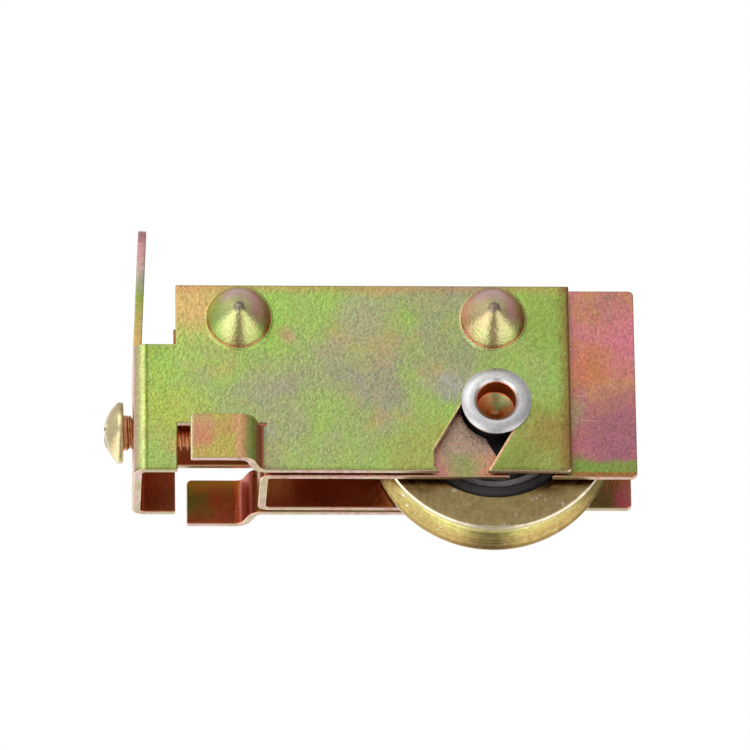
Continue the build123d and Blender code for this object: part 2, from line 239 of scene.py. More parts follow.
def plated(name, stops, warm, seed, patch=0.05, grain=0.13, tints=(), rough=(0.3, 0.42), bump=0.85,
           marks=None):
    """Chromated zinc: a cloudy interference colour with warm clouds and a fine crystalline grain.

    Each tint is a soft patch: its centre, radius, colour and strength.
    """
    s = Shader(name)
    wobble = s.noise(0.14, 3, at=s.stretch(1, 1, 1, (seed * 7.1, 3.3, seed)), colour=True)
    place = s.vector("ADD", s.mm, s.vector("MULTIPLY", wobble, (WOBBLE, WOBBLE, WOBBLE)))
    cloud = s.noise(patch, 3, 0.55, 0.2, at=place)
    colour = s.ramp(cloud, stops)
    warm_at = s.noise(0.11, 4, 0.6, 0.5, at=s.stretch(1, 1, 1.3, (seed * 3.7, seed, 11)))
    colour = s.paint(colour, warm, warm_at, 0.5, 0.7, 0.45)
    for centre, radius, tint, strength in tints:
        far = s.vector("DISTANCE", place, tuple(v + WOBBLE / 2 for v in centre))
        colour = s.mix(s.band(far, radius * 0.2, radius, strength, 0.0), colour, tint)
    if marks:
        colour = marks(s, colour)
    speck = s.noise(2.6, 2, 0.6)
    shade = s.greys(speck, (0.3, 1 - grain * 2), (0.52, 1), (0.72, 1 + grain))
    colour = s.mix(1.0, colour, shade, "MULTIPLY")
    hue = s.noise(0.9, 3, 0.65, at=s.stretch(1, 1, 1, (0, 0, seed * 5.1)), colour=True)
    colour = s.mix(0.16, colour, hue, "OVERLAY")
    pebble = s.noise(2.3, 2, 0.55)
    height = s.plus(s.times(pebble, 0.6), s.times(speck, 0.4))
    return s.finish(colour, s.band(warm_at, 0.3, 0.7, *rough), s.bump(height, bump, 0.12))


def plate_marks(s, colour):
    """Drag marks beside the fold, painted shade in its crease, worn borders at the top and right, darker
    lines of painted shade along the top, right and bottom edges, and painted highlights on the lips of the
    slot.
    """
    x, _, z = s.split()
    drag = s.noise(1.7, 3, 0.65, at=s.stretch(0.3, 1, 4.0))
    dragged = s.times(s.band(x, FOLD_X + 5.0, FOLD_X + 3.6), s.band(drag, 0.5, 0.68, 0, 0.4))
    colour = s.mix(dragged, colour, srgb(120, 126, 66))
    # A dark line along the fold's crease is painted shade.
    crease = s.absolute(s.plus(x, -FOLD_X))
    colour = s.paint(colour, srgb(118, 112, 62), crease, 0.35, 0.1, 0.6)
    colour = s.paint(colour, srgb(222, 214, 160), x, FOLD_X - 0.2, FOLD_X - 0.6, 0.5)
    colour = s.paint(colour, srgb(214, 172, 160), x, END_X + 0.9, END_X + 0.2, 0.85)
    unevenness = s.noise(0.6, 3, 0.6)
    upper = s.plus(z, s.times(unevenness, 1.2))
    colour = s.paint(colour, srgb(216, 158, 110), upper, PLATE_TOP - 1.4, PLATE_TOP + 0.2, 0.45)
    # A darker line just under the top edge is painted shade of the rolled edge.
    colour = s.paint(colour, srgb(176, 146, 110), z, PLATE_TOP - 0.35, PLATE_TOP - 0.15, 0.5)
    across = s.plus(x, s.times(unevenness, 1.6))
    colour = s.paint(colour, srgb(150, 100, 62), across, PLATE_RIGHT - 1.7, PLATE_RIGHT + 0.7, 0.75)
    # A dark line just inside the right edge is painted shade of the rolled edge.
    colour = s.paint(colour, srgb(92, 66, 36), x, PLATE_RIGHT - 0.55, PLATE_RIGHT - 0.2, 0.7)
    # Darker along the bottom edge: painted shade of the rolled edge.
    lower = s.minus(z, s.times(unevenness, 1.2))
    colour = s.paint(colour, srgb(124, 110, 58), lower, PLATE_BOTTOM + 0.4, PLATE_BOTTOM - 0.8, 0.6)
    # The slot's middle line falls towards the screw at 60 degrees, through the origin.
    off_line = s.minus(s.times(x, 0.866), s.times(z, 0.5))
    # Painted highlights along the slot's right and left lips.
    right_lip_highlight = s.times(s.band(off_line, SLOT_HALF + 0.5, SLOT_HALF + 0.35),
                        s.band(off_line, SLOT_HALF - 0.2, SLOT_HALF - 0.1))
    colour = s.mix(s.times(right_lip_highlight, s.band(z, -2.0, -2.6)), colour, srgb(250, 196, 156))
    left_lip_highlight = s.times(s.band(off_line, -SLOT_HALF - 0.35, -SLOT_HALF - 0.22),
                       s.band(off_line, 0.2 - SLOT_HALF, 0.1 - SLOT_HALF))
    left_lip_highlight = s.times(left_lip_highlight, s.times(s.band(z, 3.2, 2.4), s.band(z, -8.2, -7.8)))
    return s.mix(left_lip_highlight, colour, srgb(250, 232, 150))


def joggle_marks(s, colour):
    """Along its joggle a lanced wing turns tan, then olive, then red: partly plating colour, partly painted
    highlight at the joggle's start and painted shade on its steep face. Its free edge has a pale painted
    highlight.
    """
    x = s.split()["X"]
    along = s.ragged(x, s.noise(0.7, 3, 0.6, at=s.stretch(1, 1, 0.4)), 1.6)
    # Tan, olive, then red along the joggle: partly plating colour, partly painted highlight and painted
    # shade.
    colour = s.paint(colour, srgb(222, 172, 122), along, JOGGLE_X - 4.2, JOGGLE_X - 3.2)
    colour = s.paint(colour, srgb(176, 180, 104), along, JOGGLE_X - 2.2, JOGGLE_X - 1.7)
    colour = s.paint(colour, srgb(196, 116, 92), along, JOGGLE_X - 0.8, JOGGLE_X - 0.2)
    # A pale painted highlight along the wing's free edge.
    return s.paint(colour, srgb(238, 228, 192), x, WING_LEFT + 0.45, WING_LEFT + 0.15, 0.8)


def carriage_marks(s, colour):
    """Scratches, and at the open end's bottom edge a green band with a rust line below."""
    x, _, z = s.split()
    low = s.ragged(z, s.noise(0.35, 3, 0.6), 2.4)
    open_end = s.band(x, PLATE_RIGHT - 0.5, PLATE_RIGHT + 1.0)
    edge = CARRIAGE_BOTTOM
    colour = s.paint(colour, srgb(144, 172, 82), low, edge + 3.1, edge + 2.3, 0.9, open_end)
    colour = s.paint(colour, srgb(186, 112, 74), z, edge + 1.0, edge + 0.6, 0.8, open_end)
    scratch = s.noise(0.7, 2, 0.5, at=s.stretch(0.45, 1, 2.2, (2, 7, 4)))
    return s.paint(colour, srgb(236, 200, 186), scratch, 0.7, 0.75, 0.35)


def inner_marks(s, colour):
    """The inside of a wing's joggle carries red and pink stripes: painted highlights and painted shade along
    the bend.
    """
    x, _, z = s.split()
    along = s.ragged(x, s.noise(0.7, 3, 0.6, at=s.stretch(1, 1, 0.3)), 1.2)
    reach = s.times(s.band(along, JOGGLE_X - 3.3, JOGGLE_X - 2.9),
                    s.band(along, JOGGLE_X + 0.1, JOGGLE_X - 0.3))
    reach = s.times(reach, s.band(z, WING_TOP + 0.5, WING_TOP + 0.1))
    # Stripes of painted highlight and painted shade across the joggle.
    joggle_highlight_stripes = s.ramp(s.band(along, JOGGLE_X - 3.1, JOGGLE_X - 0.3), [
        (0.1, srgb(240, 120, 84)), (0.4, srgb(246, 170, 160)),
        (0.7, srgb(220, 110, 96)), (0.9, srgb(170, 70, 56)),
    ])
    return speck_marks(s, s.mix(s.times(reach, 0.9), colour, joggle_highlight_stripes))


def speck_marks(s, colour):
    """Bright specks and short scratches in the plating inside the folds."""
    specks = s.noise(1.5, 2, 0.6, at=s.stretch(1, 1, 1, (9, 2, 4)))
    line = s.noise(0.9, 2, 0.5, at=s.stretch(2.6, 1, 0.35, (3, 5, 8)))
    colour = s.paint(colour, srgb(246, 206, 176), specks, 0.7, 0.76, 0.7)
    return s.paint(colour, srgb(240, 176, 140), line, 0.69, 0.73, 0.5)


def dimple_marks(s, colour):
    """A cone is lilac above, partly plating colour and partly painted reflection of the light above; red on
    its right, partly plating colour and partly painted shade; it has a painted shade streak down from its
    tip, a painted shade line along the lower half of its foot, and a scuff at its tip.
    """
    x, _, z = s.split()
    half_gap = (CONE_X[1] - CONE_X[0]) / 2
    from_tip = s.math("WRAP", s.plus(x, -CONE_X[0]), half_gap, -half_gap)
    unevenness = s.times(s.noise(0.5, 3, 0.6), 1.6)
    # Lilac above: partly plating colour, partly painted reflection of the light above.
    rise = s.plus(s.minus(z, CONE_Z + 0.8), unevenness)
    colour = s.paint(colour, srgb(226, 176, 176), rise, 0.6, 3.2, 0.75)
    # The right-hand cone has a pink left rim, the left-hand one a green one.
    blush = s.times(s.band(from_tip, -2.8, -4.5), s.band(x, -30, -10, 0.2, 0.8))
    colour = s.mix(blush, colour, srgb(255, 184, 170))
    fresh = s.times(s.band(from_tip, -1.5, -3.6), s.band(x, -20, -30, 0, 0.8))
    colour = s.mix(fresh, colour, srgb(158, 186, 104))
    # More lilac on the upper flank, partly painted reflection of the light above.
    lilac = s.times(s.band(from_tip, 0.8, 2.6), s.band(s.plus(z, unevenness), CONE_Z - 1.6, CONE_Z + 0.8, 0, 0.85))
    colour = s.mix(lilac, colour, srgb(214, 150, 152))
    # Red on the right flank: partly plating colour, partly painted shade.
    colour = s.paint(colour, srgb(186, 112, 96), s.plus(from_tip, unevenness), 4.2, 5.3, 0.85)
    # A darker streak straight down from the tip is painted shade.
    tip_shade_streak = s.times(s.band(s.absolute(from_tip), 1.1, 0.3), s.band(z, CONE_Z - 0.4, CONE_Z - 1.4, 0, 0.4))
    colour = s.mix(tip_shade_streak, colour, srgb(160, 124, 80))
    height = s.minus(z, CONE_Z)
    out = s.length(from_tip, height)
    # A dark red line along the lower half of the foot is painted shade under the rim.
    foot_shade = s.times(s.band(out, 4.55, 4.85), s.band(height, 0.5, -1.5, 0, 0.7))
    colour = s.mix(foot_shade, colour, srgb(176, 98, 76))
    scuffed = s.plus(out, s.times(s.noise(1.6, 3, 0.7), 1.2))
    return s.paint(colour, srgb(128, 112, 106), scuffed, 1.75, 1.25, 0.85)


def sheared(name, light, dark, seed, bands=None):
    """The cut edge of the sheet: paler, with faint drag lines; bands colour it by its height."""
    s = Shader(name)
    cloud = s.noise(0.15, 3, 0.6, at=s.stretch(1, 1, 1, (0, seed, 0)))
    if bands:
        drag = s.noise(2.6, 3, 0.7, at=s.stretch(0.3, 0.3, 1, (seed, 0, 0)))
        low, high, stops = bands
        height = s.plus(s.split()["Z"], s.times(cloud, 3.0))
        colour = s.ramp(s.band(height, low, high), stops)
        colour = s.mix(1.0, colour, s.greys(drag, (0.3, 0.72), (0.7, 1.12)), "MULTIPLY")
    else:
        drag = s.noise(0.8, 3, 0.55, at=s.stretch(1.6, 0.5, 1.6, (seed, 0, 0)))
        colour = s.mix(s.band(drag, 0.25, 0.6), dark, light)
        colour = s.paint(colour, srgb(212, 206, 160), cloud, 0.42, 0.6, 0.7)
    return s.finish(colour, s.band(drag, 0.3, 0.7, 0.5, 0.38), s.bump(drag, 0.16, 0.04))


GREEN = srgb(176, 212, 106)
PALE = srgb(178, 202, 114)
BEIGE = srgb(180, 188, 128)
LILAC = srgb(176, 174, 144)
ORANGE = srgb(222, 182, 120)
OLIVE = srgb(168, 190, 92)
PINK = srgb(216, 150, 142)

housing_face = plated(
    "yellow_zinc_plate", [(0.34, LILAC), (0.42, BEIGE), (0.5, PALE), (0.58, GREEN), (0.7, OLIVE)],
    ORANGE, 1.0,
    tints=[
        ((-48, -PLATE_Y, 18), 11, srgb(240, 194, 130), 0.85),
        ((-51, -PLATE_Y, -2), 9, srgb(198, 204, 96), 0.6),
        ((-32.5, -PLATE_Y, 12), 2.6, srgb(206, 160, 130), 0.7),
        ((-21, -PLATE_Y, 14), 7, srgb(192, 178, 154), 0.65),
        ((-32, -PLATE_Y, 2.5), 5, srgb(182, 174, 146), 0.6),
        ((-19, -PLATE_Y, 3.5), 7, srgb(180, 172, 146), 0.65),
        ((-25, -PLATE_Y, 8.5), 4, srgb(188, 176, 150), 0.6),
        ((-7, -PLATE_Y, 2.5), 5.5, srgb(190, 182, 172), 0.75),
        ((-12, -PLATE_Y, -9), 8, srgb(190, 176, 104), 0.6),
        ((9, -PLATE_Y, -6), 9, srgb(168, 148, 80), 0.8),
        ((2, -PLATE_Y, -10), 5, srgb(150, 152, 78), 0.7),
        ((8, -PLATE_Y, 14), 7, srgb(168, 190, 92), 0.6),
        ((-55, 0, -2), 9, srgb(226, 200, 150), 0.5),
    ],
    marks=plate_marks,
)
wing_face = plated(
    "warm_zinc_plate", [(0.35, srgb(212, 160, 110)), (0.5, srgb(202, 186, 100)), (0.65, srgb(186, 192, 90))],
    PINK, 2.0,
    tints=[
        ((-45, -WING_Y, -8), 3.4, srgb(218, 142, 118), 0.75),
        ((-41, -WING_Y, -6), 3.0, srgb(214, 150, 104), 0.6),
    ],
    marks=joggle_marks,
)
cone_face = plated(
    "burnished_zinc_plate",
    [(0.3, srgb(206, 178, 140)), (0.5, srgb(206, 206, 140)), (0.7, srgb(184, 200, 122))],
    srgb(214, 190, 156), 3.0,
    rough=(0.27, 0.34), grain=0.1, bump=0.9, marks=dimple_marks,
)
# The inside faces are coloured redder than the outside: painted reflection of the facing plates in the shaded
# interior.
housing_inner = plated(
    "inner_zinc_plate",
    [(0.35, srgb(206, 112, 78)), (0.5, srgb(196, 120, 80)), (0.66, srgb(160, 146, 82))],
    srgb(190, 88, 62), 4.0, grain=0.06, bump=0.5,
    tints=[
        ((-46, WING_Y, -8), 4.5, srgb(140, 166, 80), 0.9),
        ((-40, WING_Y, -8), 4, srgb(190, 96, 72), 0.7),
    ],
    marks=inner_marks,
)
housing_edge = sheared("yellow_zinc_cut_edge", srgb(238, 206, 194), srgb(216, 176, 158), 2)
tab_edge = sheared(
    "banded_zinc_cut_edge", srgb(236, 220, 200), srgb(190, 160, 132), 3,
    bands=(9.0, 33.5, [
        (0.02, srgb(232, 190, 122)), (0.16, srgb(214, 190, 112)), (0.4, srgb(166, 182, 90)),
        (0.55, srgb(176, 176, 146)), (0.72, srgb(206, 184, 170)), (0.86, srgb(218, 164, 164)),
        (1.0, srgb(208, 150, 152)),
    ]),
)
carriage_face = plated(
    "iridescent_zinc_plate",
    [(0.3, srgb(226, 138, 150)), (0.42, srgb(226, 150, 140)), (0.5, srgb(218, 158, 118)),
     (0.58, srgb(210, 142, 132)), (0.7, srgb(184, 170, 118))],
    srgb(214, 120, 128), 5.0, patch=0.09,
    tints=[
        ((-5, -CARRIAGE_Y, -5), 8, srgb(194, 168, 146), 0.9),
        ((-5, -CARRIAGE_Y, -11), 4.5, srgb(158, 178, 104), 0.85),
        ((20, -CARRIAGE_Y, 12), 8, srgb(236, 142, 152), 0.85),
        ((13.5, -CARRIAGE_Y, 7), 6, srgb(224, 142, 94), 0.7),
        ((19, -CARRIAGE_Y, -5), 10, srgb(180, 114, 132), 0.85),
        ((14.5, -CARRIAGE_Y, -10.5), 3.8, srgb(146, 152, 88), 0.8),
    ],
    marks=carriage_marks,
)
# The inside faces are coloured redder than the outside: painted reflection of the facing plates in the shaded
# interior.
carriage_inner = plated(
    "inner_iridescent_plate",
    [(0.35, srgb(206, 108, 78)), (0.5, srgb(198, 112, 76)), (0.66, srgb(186, 120, 82))],
    srgb(206, 96, 66), 6.0, grain=0.06, bump=0.5,
    tints=[
        ((16, CARRIAGE_Y, -10), 9, srgb(140, 136, 94), 1.0),
        ((21, CARRIAGE_Y, -10), 3.2, srgb(206, 104, 122), 0.9),
    ],
    marks=speck_marks,
)
carriage_edge = sheared("iridescent_zinc_cut_edge", srgb(230, 192, 176), srgb(206, 160, 142), 6)


def turned(name, base, dark, seed, lines=2.4, rough=(0.24, 0.36), scuff=0.0, patch=None, lining=0.3,
           groove=None, bump=0.25, metallic=1.0):
    """A turned surface: fine concentric tool marks, faint clouds of plating and small scuffs.

    With a groove half-width, the tool marks stay inside it and the surface is mottled.
    """
    s = Shader(name, metallic)
    x, y, z = s.split()
    radius = s.length(x, z)
    join = s.node("ShaderNodeCombineXYZ")
    s.link(radius, join.inputs[0])
    s.link(y, join.inputs[1])
    join.inputs[2].default_value = seed
    mark = s.noise(lines, 3, 0.6, at=join.outputs[0])
    cloud = s.noise(0.16, 4, 0.6, 0.3, at=s.stretch(1, 1, 1, (seed, 0, 0)))
    colour = s.mix(s.band(cloud, 0.35, 0.68), dark, base)
    if patch:
        colour = patch(s, colour, radius, cloud)
    fleck = s.noise(1.9, 3, 0.7)
    colour = s.mix(1.0, colour, s.greys(fleck, (0.3, 0.84), (0.7, 1.08)), "MULTIPLY")
    ringed = s.greys(mark, (0.36, 0.62), (0.6, 1.1))
    share = s.band(s.absolute(y), groove + 0.2, groove - 0.1, 0.0, lining) if groove else lining
    colour = s.mix(share, colour, ringed, "MULTIPLY")
    if groove:
        mottle = s.noise(1.1, 4, 0.7, at=s.stretch(1, 1, 1, (4, 0, seed)))
        colour = s.mix(1.0, colour, s.greys(mottle, (0.34, 0.78), (0.64, 1.12)), "MULTIPLY")
    if scuff:
        spots = s.noise(0.7, 4, 0.7, at=s.stretch(1, 1, 1.4, (0, seed, 3)))
        colour = s.paint(colour, srgb(230, 224, 216), spots, 0.62, 0.74, scuff)
    height = s.plus(s.times(mark, 0.5), s.times(fleck, 0.5))
    return s.finish(colour, s.band(mark, 0.3, 0.7, *rough), s.bump(height, bump, 0.03))


def bright_edge(s, colour, radius, cloud):
    """The wheel: dull olive faces; a brighter groove with a painted highlight band down its middle, painted
    shade beside it and at its edges; and painted highlights along the flange edges.
    """
    x, y, _ = s.split()
    across = s.absolute(y)
    uneven = s.ragged(across, cloud, 2.0)
    # A painted highlight band down the groove's middle, with painted shade beside it.
    colour = s.paint(colour, srgb(238, 234, 150), uneven, 1.7, 0.8, 0.7)
    colour = s.paint(colour, srgb(176, 142, 90), uneven, 2.0, 3.2, 0.7)
    # Dark lines where the groove meets the flanges are painted shade.
    colour = s.paint(colour, srgb(112, 84, 48), across, GROOVE_HALF - 0.5, GROOVE_HALF - 0.1, 0.6)
    colour = s.paint(colour, srgb(150, 122, 80), across, GROOVE_HALF - 0.05, GROOVE_HALF + 0.1)
    # Painted highlights along the flange edges, broken up unevenly.
    highlight_breaks = s.band(s.noise(0.45, 3, 0.6), 0.4, 0.6, 0.4, 1.0)
    colour = s.paint(colour, srgb(226, 212, 186), across, WHEEL_HALF - 0.45, WHEEL_HALF - 0.3, 1.0, highlight_breaks)
    colour = s.paint(colour, srgb(150, 138, 84), x, -5.0, -11.0, 0.4)
    face = s.paint(srgb(168, 146, 98), srgb(176, 152, 104), radius, WHEEL_RADIUS - 2.05, WHEEL_RADIUS - 0.45)
    colour = s.mix(s.band(across, WHEEL_HALF - 0.6, WHEEL_HALF - 0.05), colour, face)
    # A painted highlight on the outer rim edge.
    rim_highlight = s.times(s.band(radius, WHEEL_RADIUS - 0.5, WHEEL_RADIUS - 0.2),
                   s.band(across, WHEEL_HALF - 0.45, WHEEL_HALF - 0.25))
    return s.mix(s.times(rim_highlight, 0.8), colour, srgb(250, 236, 206))


def copper_bore(s, colour, radius, cloud):
    """The rivet: a dull outer zone, a burnished lip, and a plated bore that shows copper red."""
    y = s.split()["Y"]
    colour = s.mix(s.times(s.band(radius, 4.3, 4.9), 0.7), colour, srgb(204, 202, 204))
    inside = s.times(s.band(y, MOUTH_Y + 0.05, MOUTH_Y + 0.25), s.band(y, 5.0, 0.0))
    bore = s.times(s.band(radius, BORE_RADIUS + 0.17, BORE_RADIUS + 0.05), inside)
    warm = s.ramp(s.noise(0.6, 3, 0.6), [
        (0.35, srgb(196, 132, 92)), (0.5, srgb(186, 168, 112)), (0.6, srgb(156, 176, 116)),
    ])
    warm = s.mix(s.band(radius, BORE_RADIUS, BORE_RADIUS - 0.3), srgb(214, 124, 82), warm)
    return s.mix(bore, colour, warm)


wheel_metal = turned(
    "yellow_zinc_turned", srgb(214, 206, 122), srgb(196, 178, 106), 3,
    scuff=0.8, rough=(0.2, 0.32), patch=bright_edge, lining=0.5, groove=GROOVE_HALF, bump=0.9,
)
screw_metal = turned("yellow_zinc_screw", srgb(216, 216, 158), srgb(208, 188, 146), 8, rough=(0.24, 0.34))
thread_metal = turned("yellow_zinc_thread", srgb(222, 174, 130), srgb(208, 146, 104), 11, rough=(0.26, 0.36))
rivet_metal = turned(
    "bright_steel", srgb(238, 237, 236), srgb(216, 214, 214), 4,
    scuff=0.5, rough=(0.32, 0.46), patch=copper_bore,
)
# The bushes are near-black, as dark as the slot around them.
bush_metal = turned("blackened_steel", (0.05, 0.05, 0.054), (0.03, 0.03, 0.033), 5, rough=(0.4, 0.5))
ring_metal = turned(
    "bearing_steel", srgb(240, 240, 240), srgb(226, 226, 228), 6, lines=4, rough=(0.5, 0.62), metallic=0.75,
)
ball_metal = turned("polished_steel", srgb(232, 233, 236), srgb(220, 221, 225), 7, lines=6, rough=(0.05, 0.1))
pressed_metal = turned("pressed_steel", srgb(206, 206, 208), srgb(180, 180, 184), 9, lines=1.2)

s = Shader("black_nylon", metallic=0.0)
fine = s.noise(3.2, 3, 0.6)
x, _, z = s.split()
radius = s.length(x, z)
# The ring's face is dark grey; near its outer and inner borders it is near-black, painted shade of the gaps
# beside it.
lip = s.times(s.band(radius, INSERT_OUTER - 0.35, INSERT_OUTER - 0.55),
              s.band(radius, INSERT_INNER + 0.1, INSERT_INNER + 0.25))
nylon = s.mix(lip, s.ramp(fine, [(0.3, (0.008, 0.008, 0.009)), (0.7, (0.016, 0.015, 0.016))]),
              s.ramp(fine, [(0.3, (0.03, 0.028, 0.028)), (0.7, (0.06, 0.055, 0.055))]))
nylon = s.finish(nylon, s.band(fine, 0.3, 0.7, 0.38, 0.55), s.bump(fine, 0.2, 0.03))

for node, metal in {
    "screw_nut": screw_metal, "adjusting_screw": screw_metal, "axle_rivet": rivet_metal,
    "bush_front": bush_metal, "bush_back": bush_metal, "wheel_rim": wheel_metal, "insert_ring": nylon,
    "bearing_outer_ring": ring_metal, "bearing_inner_ring": ring_metal, "bearing_balls": ball_metal,
    "cage_front": pressed_metal, "cage_back": pressed_metal, "cage_rivets": pressed_metal,
    "shield_front": pressed_metal, "shield_back": pressed_metal,
    "outer_housing": housing_face, "wheel_carriage": carriage_face,
}.items():
    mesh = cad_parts[node].data
    mesh.materials.clear()
    mesh.materials.append(metal)


# ---------------------------------------------------------------- folded sheets
def housing_zone(place, normal, cut):
    """Index into the housing's materials for a face at place, in millimetres."""
    x, y, z = place
    if z > TAB_Z and x < TAB_X:
        return 5 if cut else 0
    cone = min(math.hypot(x - tip, z - CONE_Z) for tip in CONE_X)
    near_cone = cone < 5.5 and abs(y) > PLATE_Y - SHEET + 0.05
    if cut and not near_cone:
        return 1
    if abs(y) > PLATE_Y - SHEET - 0.1:
        if normal.y * y < 0:
            return 2
        if cone < 5.05 and abs(y) > PLATE_Y + 0.15:
            return 4
        # The joggle slopes out from the plate; left of it only the wing's own outer face counts.
        out = PLATE_Y + 0.15 if x > JOGGLE_X - 3.9 else WING_Y - SHEET - 0.2
        return 3 if z < WING_TOP + 0.2 and abs(y) > out and x < JOGGLE_X + 2.3 else 0
    return 2 if normal.x > 0 else 0


def carriage_zone(place, normal, cut):
    """Index into the carriage's materials for a face at place, in millimetres."""
    if cut:
        return 1
    inside = normal.y * place.y < 0 if abs(place.y) > CARRIAGE_Y - SHEET - 0.5 else normal.x > 0
    return 2 if inside else 0


WELD = 1e-6           # metres; corners closer than this are one corner
SKIN = 2e-6           # metres; how far below a face the search for the opposite face starts
FLAT_AREA = 6e-5      # square metres; a larger face is flat plate and stays flat up to its bevel


def welded(node):
    """The shape of a CAD node, with its faces joined along their borders."""
    bm = bmesh.new()
    bm.from_mesh(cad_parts[node].data)
    bmesh.ops.remove_doubles(bm, verts=bm.verts, dist=WELD)
    return bm


def sheet_copy(node, name, metals, zone, bevel_mm):
    """A copy of a folded sheet with its surfaces sorted into zones and every sharp edge eased."""
    bm = welded(node)
    bm.normal_update()
    tree = BVHTree.FromBMesh(bm)
    for f in bm.faces:
        f.smooth = True
        centre = f.calc_center_median()
        depth = tree.ray_cast(centre - f.normal * SKIN, -f.normal, 10 * MM)[3]
        cut = depth is None or depth > SHEET * MM * 1.16
        f.material_index = zone(centre / MM, f.normal, cut)
    bmesh.ops.dissolve_limit(bm, angle_limit=math.radians(0.6), verts=bm.verts, edges=bm.edges,
                             delimit={"MATERIAL"})
    sharp = [e for e in bm.edges if len(e.link_faces) == 2 and e.calc_face_angle(0) > math.radians(38)]
    bmesh.ops.bevel(bm, geom=sharp, offset=bevel_mm * MM, offset_type="OFFSET", segments=2, profile=0.5,
                    affect="EDGES", clamp_overlap=False, loop_slide=False, material=-1)
    for e in bm.edges:
        if len(e.link_faces) == 2:
            beside_plate = any(f.calc_area() > FLAT_AREA for f in e.link_faces)
            e.smooth = e.calc_face_angle(0) < math.radians(10 if beside_plate else 50)
    mesh = bpy.data.meshes.new(name)
    bm.to_mesh(mesh)
    bm.free()
    for metal in metals:
        mesh.materials.append(metal)
    piece = bpy.data.objects.new(name, mesh)
    scene.collection.objects.link(piece)
    weighted = piece.modifiers.new("normals", "WEIGHTED_NORMAL")
    weighted.keep_sharp = True
    return piece


housing_metals = (housing_face, housing_edge, housing_inner, wing_face, cone_face, tab_edge)
housing = sheet_copy("outer_housing", "housing_sheet", housing_metals, housing_zone, 0.2)
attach(housing, "housing")
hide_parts("outer_housing")
carriage_metals = (carriage_face, carriage_edge, carriage_inner)
carriage = sheet_copy("wheel_carriage", "carriage_sheet", carriage_metals, carriage_zone, 0.18)
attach(carriage, "carriage")
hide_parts("wheel_carriage")

# ---------------------------------------------------------------- adjusting screw
THREAD_DEPTH = 0.60
CREST, ROOT = 0.86, 0.2         # a ridge's height, from 0 to 1, above which it is crest, below which root
RUN_OUT, FADE = 1.1, 0.8        # plain length from the skin's start, then the length it deepens over
POINT = 0.8                     # the point's chamfer


def head_copy():
    """The CAD screw's head, without its shank."""
    bm = welded("adjusting_screw")
    shank = [f for f in bm.faces if f.calc_center_median().x / MM > HEAD_UNDERSIDE + 0.01]
    bmesh.ops.delete(bm, geom=shank, context="FACES")
    for f in bm.faces:
        f.smooth = True
        f.material_index = 0
    return bm


def add_thread(bm, start, end):
    """A 60 degree rolled thread as one closed skin, from inside the head to the screw's point."""
    around, along = 72, 16
    steps = int((end - start) / PITCH * along)
    rows = []
    for i in range(steps + 1):
        x = start + (end - start) * i / steps
        row = []
        for j in range(around):
            angle = 2 * math.pi * j / around
            phase = (x / PITCH - j / around) % 1.0
            ridge = 1 - abs(2 * phase - 1)
            depth = THREAD_DEPTH * min(1.0, max(0.0, (CREST - ridge) / (CREST - ROOT)))
            fade = min(1.0, max(0.0, (x - start - RUN_OUT) / FADE))
            radius = SHANK_RADIUS - 0.012 - depth * fade
            radius = min(radius, SHANK_RADIUS - POINT + max(0.0, end - x))
            y, z = radius * math.cos(angle), SCREW_Z + radius * math.sin(angle)
            row.append(bm.verts.new((x * MM, y * MM, z * MM)))
        rows.append(row)
    for a, b in zip(rows, rows[1:]):
        for j in range(around):
            k = (j + 1) % around
            f = bm.faces.new((a[j], b[j], b[k], a[k]))
            f.smooth = True
            f.material_index = 1
    for row, turn in ((rows[0], 1), (rows[-1], -1)):
        f = bm.faces.new(row[::turn])
        f.material_index = 1


bm = head_copy()
_, screw_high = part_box("adjusting_screw")
add_thread(bm, HEAD_UNDERSIDE - 0.6, screw_high.x / MM)
bmesh.ops.recalc_face_normals(bm, faces=bm.faces)
screw_mesh = bpy.data.meshes.new("screw_with_thread")
bm.to_mesh(screw_mesh)
bm.free()
screw_mesh.materials.append(screw_metal)
screw_mesh.materials.append(thread_metal)
screw_mesh.set_sharp_from_angle(angle=math.radians(35))
screw = bpy.data.objects.new("screw_with_thread", screw_mesh)
scene.collection.objects.link(screw)
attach(screw, "screw")
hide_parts("adjusting_screw")

# ---------------------------------------------------------------- studio
world = bpy.data.worlds.new("studio")
scene.world = world
world.use_nodes = True
nodes, links = world.node_tree.nodes, world.node_tree.links
nodes.clear()


def sky(kind, **props):
    made = nodes.new(kind)
    for key, value in props.items():
        setattr(made, key, value)
    return made


def sky_math(operation, a, b):
    made = sky("ShaderNodeMath", operation=operation)
    for socket, value in zip(made.inputs, (a, b)):
        if isinstance(value, bpy.types.NodeSocket):
            links.new(value, socket)
        else:
            socket.default_value = value
    return made.outputs[0]


def sky_band(value, low, high, to_low=0.0, to_high=1.0):
    made = sky("ShaderNodeMapRange", interpolation_type="SMOOTHSTEP")
    links.new(value, made.inputs["Value"])
    for key, number in (("From Min", low), ("From Max", high), ("To Min", to_low), ("To Max", to_high)):
        made.inputs[key].default_value = number
    return made.outputs[0]


way = sky("ShaderNodeSeparateXYZ")
links.new(sky("ShaderNodeTexCoord").outputs["Generated"], way.inputs[0])
wx, wy, wz = way.outputs
across = sky_math("ABSOLUTE", wx, 0.0)
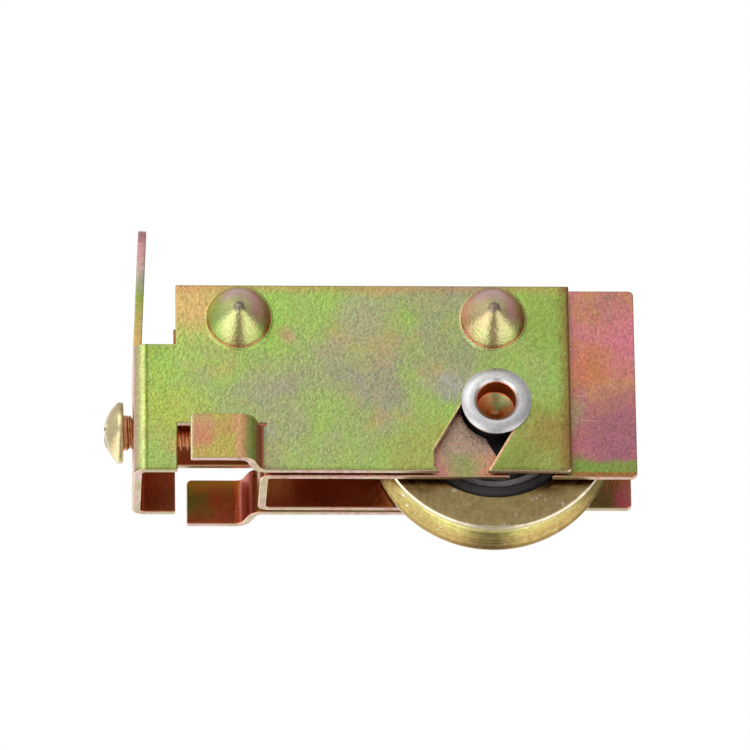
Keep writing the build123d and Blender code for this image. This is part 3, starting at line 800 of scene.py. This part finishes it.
# Bright behind and low on both sides, faint in front, a little from the left, over a base that
# grows upwards.
lobe = sky_math("ADD", wz, sky_band(wx, 0.0, -0.6, 0.06, -0.12))
sides = sky_math("MULTIPLY", sky_band(across, 0.1, 0.38), sky_band(lobe, -0.12, -0.45))
behind = sky_math("MULTIPLY", sky_band(wy, 0.6, 0.92), 0.85)
front = sky_math("MULTIPLY", sky_band(wy, -0.5, -0.9), sky_band(wz, -0.85, -0.35))
left = sky_band(wx, 0.2, -0.8, 0.0, 0.4)
total = sky_math("ADD", behind, sky_math("MULTIPLY", front, 0.2))
total = sky_math("ADD", sky_math("MULTIPLY", sides, 1.5), total)
total = sky_math("ADD", total, sky_math("ADD", left, sky_band(wz, -0.7, 0.9, 0.4, 0.72)))
room = sky("ShaderNodeBackground")
links.new(total, room.inputs["Strength"])
seen = sky("ShaderNodeBackground")
seen.inputs["Color"].default_value = (1, 1, 1, 1)
mixer = sky("ShaderNodeMixShader")
links.new(sky("ShaderNodeLightPath").outputs["Is Camera Ray"], mixer.inputs[0])
links.new(room.outputs[0], mixer.inputs[1])
links.new(seen.outputs[0], mixer.inputs[2])
links.new(mixer.outputs[0], sky("ShaderNodeOutputWorld").inputs["Surface"])


def panel(name, place, target, size, power):
    """A rectangular light, sized in metres, that points at the target and that no camera sees."""
    light = bpy.data.lights.new(name, "AREA")
    light.shape = "RECTANGLE"
    light.size, light.size_y = size
    light.energy = power
    lamp = bpy.data.objects.new(name, light)
    lamp.location = place
    lamp.rotation_mode = "QUATERNION"
    lamp.rotation_quaternion = (Vector(target) - Vector(place)).to_track_quat("-Z", "Y")
    lamp.visible_camera = False
    scene.collection.objects.link(lamp)


middle = (cad_low + cad_high) / 2
panel("soft_key", middle + Vector((-0.26, -0.42, 0.26)), middle, (0.42, 0.42), 0.55)

FLOOR_HALF, FLOOR_Z = 12, -1.3      # metres
floor_mesh = bpy.data.meshes.new("floor")
bm = bmesh.new()
bmesh.ops.create_grid(bm, x_segments=1, y_segments=1, size=FLOOR_HALF)
bm.to_mesh(floor_mesh)
bm.free()
floor = bpy.data.objects.new("floor", floor_mesh)
floor.location = (0, 0, FLOOR_Z)
scene.collection.objects.link(floor)
s = Shader("pale_floor", metallic=0.0, roughness=0.8,
           Emission_Color=(1, 1, 1, 1), Emission_Strength=0.45)
tone = s.noise(0.002, 2)
floor_mesh.materials.append(s.finish(s.ramp(tone, [(0.3, (0.86, 0.86, 0.86)), (0.7, (0.9, 0.9, 0.9))])))
floor.visible_glossy = False
floor.visible_diffuse = False

# ---------------------------------------------------------------- camera
AZIMUTH, ELEVATION, ROLL = -2.662, -21.557, -0.781      # degrees
TARGET = (-18.186, 0, 8.189)                            # millimetres
DISTANCE = 1370                                         # millimetres
SENSOR, LENS = 36, 423.7056                             # millimetres

azimuth, elevation, roll = (math.radians(v) for v in (AZIMUTH, ELEVATION, ROLL))
level = math.cos(elevation)
back = Vector((math.sin(azimuth) * level, -math.cos(azimuth) * level, math.sin(elevation)))
right = (-back).cross(Vector((0, 0, 1))).normalized()
up = right.cross(-back)
camera = bpy.data.objects.new("camera", bpy.data.cameras.new("camera"))
camera.data.sensor_width = SENSOR
camera.data.lens = LENS
camera.data.clip_start, camera.data.clip_end = 0.01, 50
turn_x = right * math.cos(roll) + up * math.sin(roll)
turn_y = up * math.cos(roll) - right * math.sin(roll)
camera.matrix_world = Matrix((turn_x, turn_y, back)).transposed().to_4x4()
camera.location = (Vector(TARGET) + back * DISTANCE) * MM
scene.collection.objects.link(camera)
scene.camera = camera
scene.view_settings.view_transform = "Standard"

bpy.context.view_layer.update()
